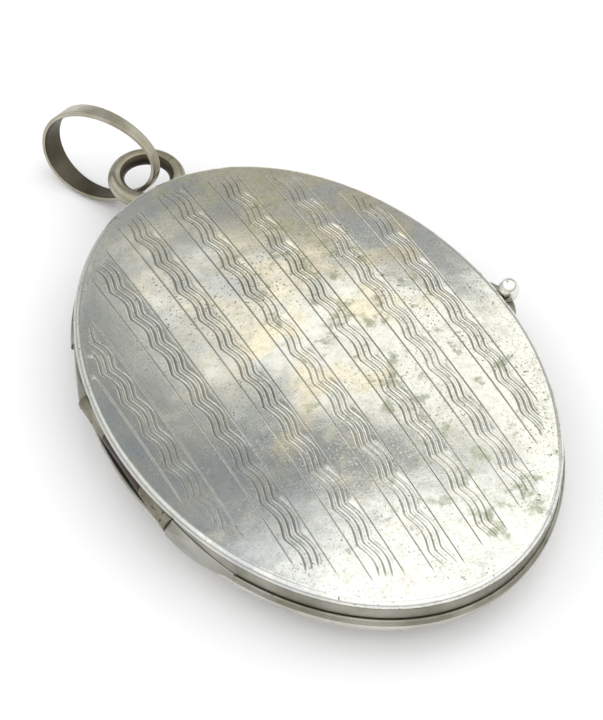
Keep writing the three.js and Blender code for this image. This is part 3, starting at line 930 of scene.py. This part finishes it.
leaf_foot = low("upper_knuckle").z / MM
lid_leaf_top = high("lid_knuckle").z / MM
end_knuckles = {"upper_knuckle": "hinge_knuckle_ring_end", "lower_knuckle": "hinge_knuckle_near_end"}
for node, name in end_knuckles.items():
    tube = knuckle(name, node, LEAF_WIDTH, leaf_foot, axis_level)
    hand_in(tube, "back", "hinge_silver", hinge_silver, node)
tube = knuckle("hinge_knuckle_lid", "lid_knuckle", LEAF_WIDTH, axis_level, lid_leaf_top)
hand_in(tube, "lid", "hinge_silver", dark_hinge, "lid_knuckle")

# %% [markdown]
# The wings fair the ends of the barrel into the side of the case. Their shape is already
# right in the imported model, apart from its knife-sharp edges, so each wing is a copy of its
# node, cleaned up and softened as a file and a polishing stick would.

# %% Wings
for node in ("upper_hinge_wing", "lower_hinge_wing"):
    wing = copy_of(node, node.replace("hinge_wing", "wing"))
    soften(wing, 0.045 * MM, segments=3, angle=25, smooth=40)
    hand_in(wing, "back", "silver", wing_silver, node)

# %% [markdown]
# ## Ball and lip
#
# The lid is lifted by a little silver ball that stands on a lip. The ball is a sphere drawn
# taller than it is wide and cut flat where it meets the lip, with a collar of solder under
# it. The lip is the node's own half-moon, softened.

# %% Ball and lip
lip = copy_of("thumb_lip", "lift_lip")
soften(lip, 0.06 * MM, segments=3, angle=40, smooth=40)
hand_in(lip, "lid", "silver", wing_silver, "thumb_lip")

ball_low, ball_high = low("thumb_ball"), high("thumb_ball")
ball_radius = (ball_high.x - ball_low.x) / 2
ball_half = 0.95 * MM  # half its height, a little more than its radius
ball_x, ball_y = (ball_low.x + ball_high.x) / 2, (ball_low.y + ball_high.y) / 2
ball_centre = Vector((ball_x, ball_y, ball_high.z - ball_half))
clear()
bpy.ops.mesh.primitive_uv_sphere_add(
    segments=64, ring_count=40, radius=ball_radius, location=ball_centre
)
ball = named("lift_ball")
with shaping(ball):
    bpy.ops.mesh.select_all(action="SELECT")
    bpy.ops.transform.resize(value=(1, 1, ball_half / ball_radius), center_override=ball_centre)
    bpy.ops.mesh.bisect(
        plane_co=(0, 0, ball_low.z), plane_no=(0, 0, -1), clear_outer=True, use_fill=True, threshold=1e-6
    )
smooth_over(ball, 50)
clear()
collar_place = (ball_centre.x, ball_centre.y, ball_low.z + 0.07 * MM)
bpy.ops.mesh.primitive_torus_add(
    major_segments=64,
    minor_segments=16,
    major_radius=0.55 * MM,
    minor_radius=0.09 * MM,
    location=collar_place,
)
collar = named("collar")
settle(collar)
smooth_over(collar, 180)
cut_with(ball, collar, "UNION")
hand_in(ball, "lid", "polished_silver", ball_silver, "thumb_ball")

# %% [markdown]
# ## Ring and bail
#
# The ring is heavy round wire, soldered flat against the back with a foot of solder. It is
# filed to seat on the case, so the oval outline is cut out of it. The bail is a strip bent
# into a tapered loop, broad where the chain runs and narrow where it passes the ring.

# %% Ring
ring_low, ring_high = low("suspension_ring"), high("suspension_ring")
wire = (ring_high.z - ring_low.z) / 2
ring_outer = (ring_high.x - ring_low.x) / 2
ring_centre = Vector(
    ((ring_low.x + ring_high.x) / 2, ring_high.y - ring_outer, (ring_low.z + ring_high.z) / 2)
)
clear()
bpy.ops.mesh.primitive_torus_add(
    major_segments=128,
    minor_segments=40,
    major_radius=ring_outer - wire,
    minor_radius=wire,
    location=ring_centre,
)
ring = named("soldered_ring")
settle(ring)
foot_half = 0.88 * MM
SEAT_GAP = 0.03
BEAD_CLEAR = 0.25
solder = block(
    ring_centre.x - foot_half,
    ring_centre.x + foot_half,
    half_length - 1 * MM,
    ring_centre.y - ring_outer + 2.1 * wire,
    ring_centre.z - wire + 0.1 * MM,
    ring_centre.z + wire - 0.1 * MM,
    "solder",
)
soften(solder, 0.22 * MM, segments=4)
cut_with(ring, solder, "UNION")


def oval_tool(outset, bottom, top):
    """A solid oval, larger than the case by the outset, to file a seat with."""
    clear()
    bpy.ops.mesh.primitive_cylinder_add(
        vertices=STEPS,
        radius=1,
        depth=(top - bottom) * MM,
        location=(0, 0, (top + bottom) / 2 * MM),
        scale=(half_width + outset * MM, half_length + outset * MM, 1),
    )
    tool = named("oval_tool")
    settle(tool)
    return tool


cut_with(ring, oval_tool(SEAT_GAP, -1, 10))
cut_with(ring, oval_tool(BEAD_CLEAR, bead_low - SEAT_GAP, 10))
smooth_over(ring, 40)


def in_the_hole(face):
    flat_out = (face.center - ring_centre) * Vector((1, 1, 0))
    return flat_out.length < ring_outer - 1.45 * wire


# The faces in the ring's hole take the dark finish: grime with painted shade.
hand_in(
    ring, "back", "ring_silver", ring_silver, "suspension_ring", grime_and_shade=ring_grime_and_shade, where=in_the_hole
)

# %% Bail
BAIL_LENGTH = 9.3
BAIL_WIDTH = 6.6
BAIL_TAPER = 0.12
BAIL_SHEET = 0.32
BAIL_WIDE = 1.75
BAIL_NARROW = 0.75
BAIL_HEADING = math.radians(28.7)
BAIL_DIP = math.radians(20.5)
BAIL_LEAN = math.radians(9.8)
BAIL_PLACE = Vector((-0.42, 3.4, 0.9)) * MM
BAIL_STEPS = 120
clear()
bpy.ops.mesh.primitive_circle_add(vertices=BAIL_STEPS, radius=1, rotation=(0, math.pi / 2, 0))
bail = named("chain_bail")
settle(bail)
with shaping(bail):
    bpy.ops.mesh.select_all(action="SELECT")
    bpy.ops.transform.resize(value=(1, BAIL_LENGTH / 2 * MM, BAIL_WIDTH / 2 * MM))
    bpy.ops.transform.translate(value=(-0.5 * MM, 0, 0))
    for step in range(4):
        bpy.ops.mesh.extrude_edges_move()
        bpy.ops.transform.translate(value=(0.25 * MM, 0, 0))
for corner_point in bail.data.vertices:
    toward_ring = -corner_point.co.y / (BAIL_LENGTH / 2 * MM)
    width = BAIL_NARROW + (BAIL_WIDE - BAIL_NARROW) * (1 - toward_ring) / 2
    corner_point.co.x *= width
    corner_point.co.z *= 1 - BAIL_TAPER * toward_ring
with shaping(bail):
    bpy.ops.mesh.select_all(action="SELECT")
    bpy.ops.mesh.normals_make_consistent(inside=False)
finish_modifier(bail, "SOLIDIFY", thickness=BAIL_SHEET * MM, offset=0, use_even_offset=True)
soften(bail, 0.09 * MM, segments=3, angle=50, smooth=50)
lie = Matrix.Rotation(BAIL_HEADING, 4, "Z")
swing = Matrix.Rotation(-BAIL_DIP, 4, "X") @ Matrix.Rotation(BAIL_LEAN, 4, "Y")
bail.matrix_world = Matrix.Translation(ring_centre) @ lie @ Matrix.Translation(BAIL_PLACE) @ swing
settle(bail)
bail_middle = sum((v.co for v in bail.data.vertices), Vector()) / len(bail.data.vertices)


def inside_the_loop(face):
    return face.normal.dot((bail_middle - face.center).normalized()) > 0.45


# The inside of the bail's loop takes the dark finish: grime with painted shade.
hand_in(bail, "bail", "ring_silver", ring_silver, "bail", grime_and_shade=ring_grime_and_shade, where=inside_the_loop)

# %% [markdown]
# ## Inside
#
# Each half holds an oval frame of thin gilt brass, with a window of mica and a blank card
# behind it. They show only when the lid is open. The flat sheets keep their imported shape,
# and the frames are softened copies.

# %% Frames, windows, cards and pin
gilt = old_silver("gilt_brass", (0.78, 0.6, 0.3), (0.42, 0.3, 0.14), 0.3, 0.3, 0.4)
for node, body in (("back_frame", "back"), ("front_frame", "lid")):
    rim_piece = copy_of(node, node.replace("frame", "picture_frame"))
    soften(rim_piece, 0.05 * MM, segments=2, angle=40, smooth=30)
    hand_in(rim_piece, body, "gilt", gilt, node)

mica = Finish("mica", roughness=0.08, metallic=0.0)
streaks = mica.cloud(3 * MM, detail=4, stretch=(1, 0.4, 1))
mica.set(Base_Color=mica.mix(streaks * 0.4, (0.96, 0.94, 0.88), (0.86, 0.8, 0.66)))
mica.set(Alpha=streaks * 0.15 + 0.12)
mica.set(Roughness=streaks * 0.12 + 0.04)
paper = Finish("blank_card", roughness=0.9, metallic=0.0)
fibres = paper.cloud(0.35 * MM, detail=5, stretch=(1, 0.5, 1))
foxing = paper.between(paper.cloud(5 * MM, detail=4, shift=(3, 3, 3)), 0.58, 0.76)
paper.set(Base_Color=paper.mix(foxing * 0.4 + fibres * 0.15, (0.8, 0.73, 0.58), (0.56, 0.42, 0.26)))
paper.set(Normal=paper.bump(fibres, 0.2, 0.03 * MM))
pin_wire = old_silver("pin_wire", (0.45, 0.42, 0.37), (0.2, 0.17, 0.13), 0.4, 0.35, 0.5)


def refinish(node, finish):
    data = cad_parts[node].data
    data.materials.clear()
    data.materials.append(finish.material)


for half in ("back", "front"):
    refinish(f"{half}_window", mica)
    refinish(f"{half}_card", paper)
refinish("hinge_pin", pin_wire)
